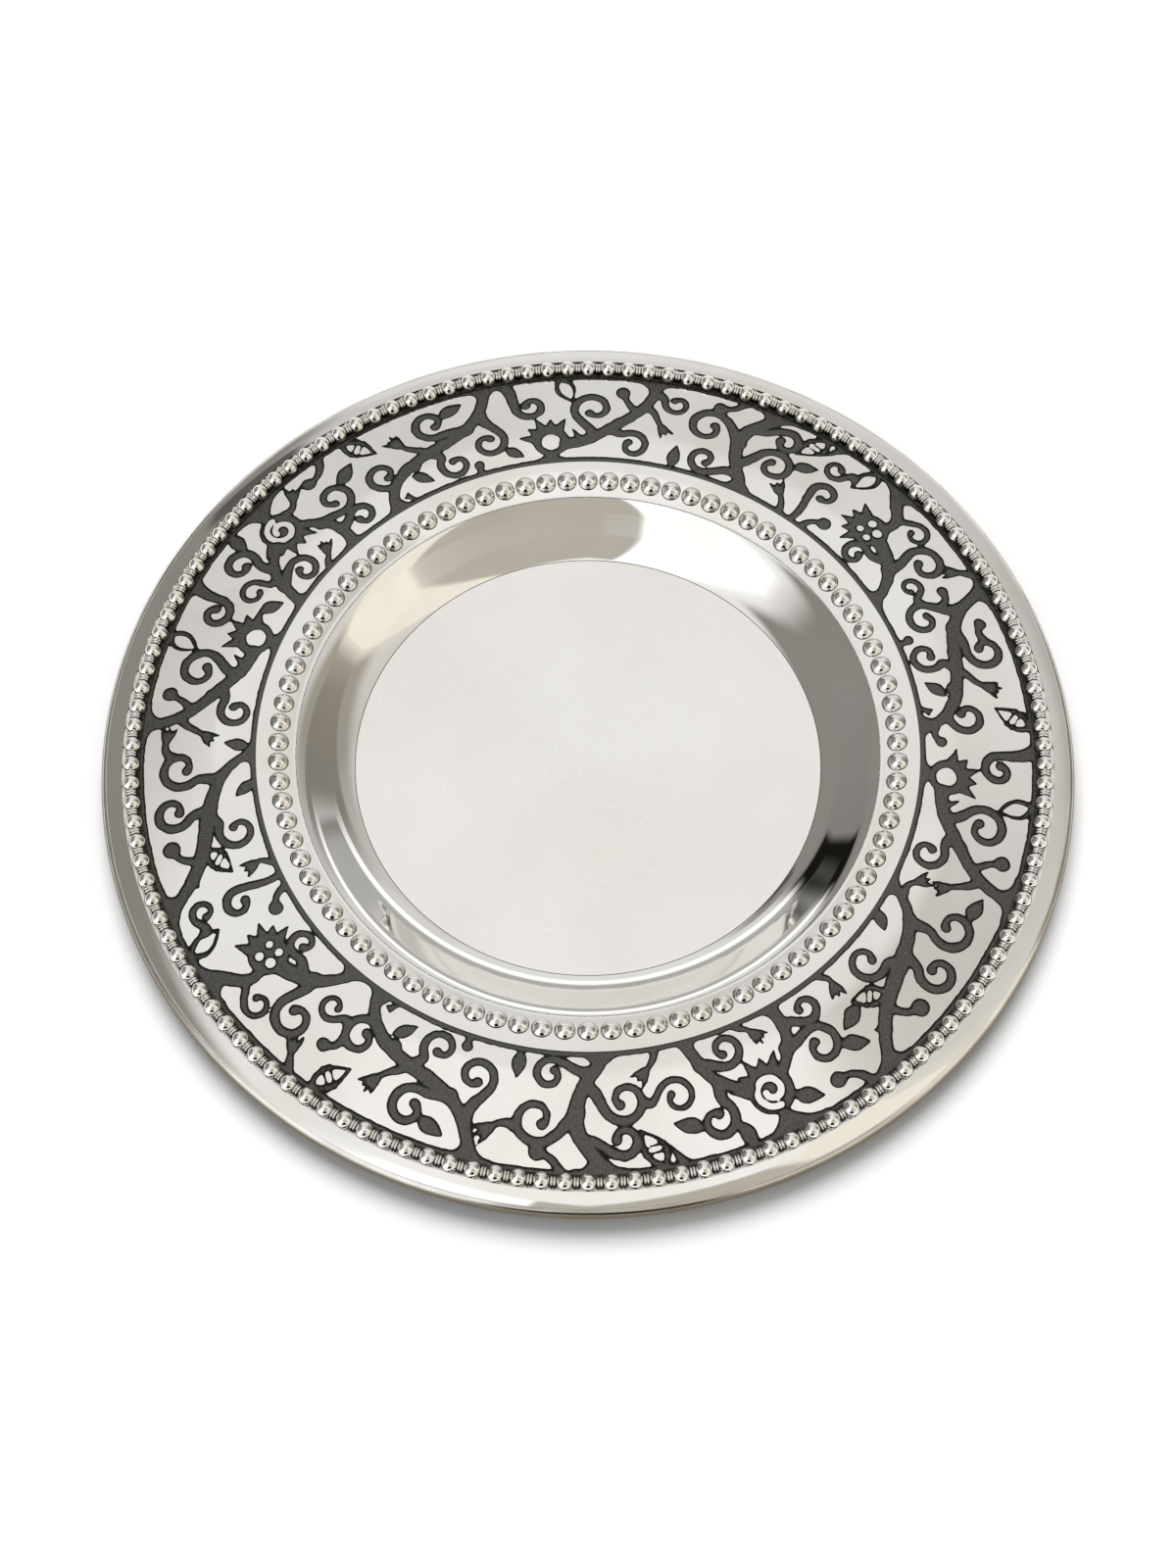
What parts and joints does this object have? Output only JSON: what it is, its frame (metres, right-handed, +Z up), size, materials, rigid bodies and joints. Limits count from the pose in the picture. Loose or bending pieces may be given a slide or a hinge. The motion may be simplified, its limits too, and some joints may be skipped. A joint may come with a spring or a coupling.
{
  "type": "offering plate",
  "caption": "Round silver-coloured offering plate with a flat-floored well, a domed flange, an etched scroll band between two rings of beads, and a rolled edge.",
  "frame": {"origin": "centre of the flat underside that the plate stands on", "axes": "+Z up, along the plate's axis of revolution"},
  "size_m": [0.156, 0.156, 0.0083],
  "materials": {
    "polished_plate": "mirror polished, with a fine satin floor",
    "steel_wire": "drawn",
    "etched_plate": "polished islands over a blackened etched ground",
    "bead_wire": "polished, with dark patina between the balls",
    "bright_beads": "mirror polished"
  },
  "bodies": {
    "root": {"plate_body": "polished_plate", "rim_wire": "steel_wire", "etched_band": "etched_plate", "outer_bead_wire": "bead_wire", "inner_beads": "bright_beads"}
  },
  "joints": []
}
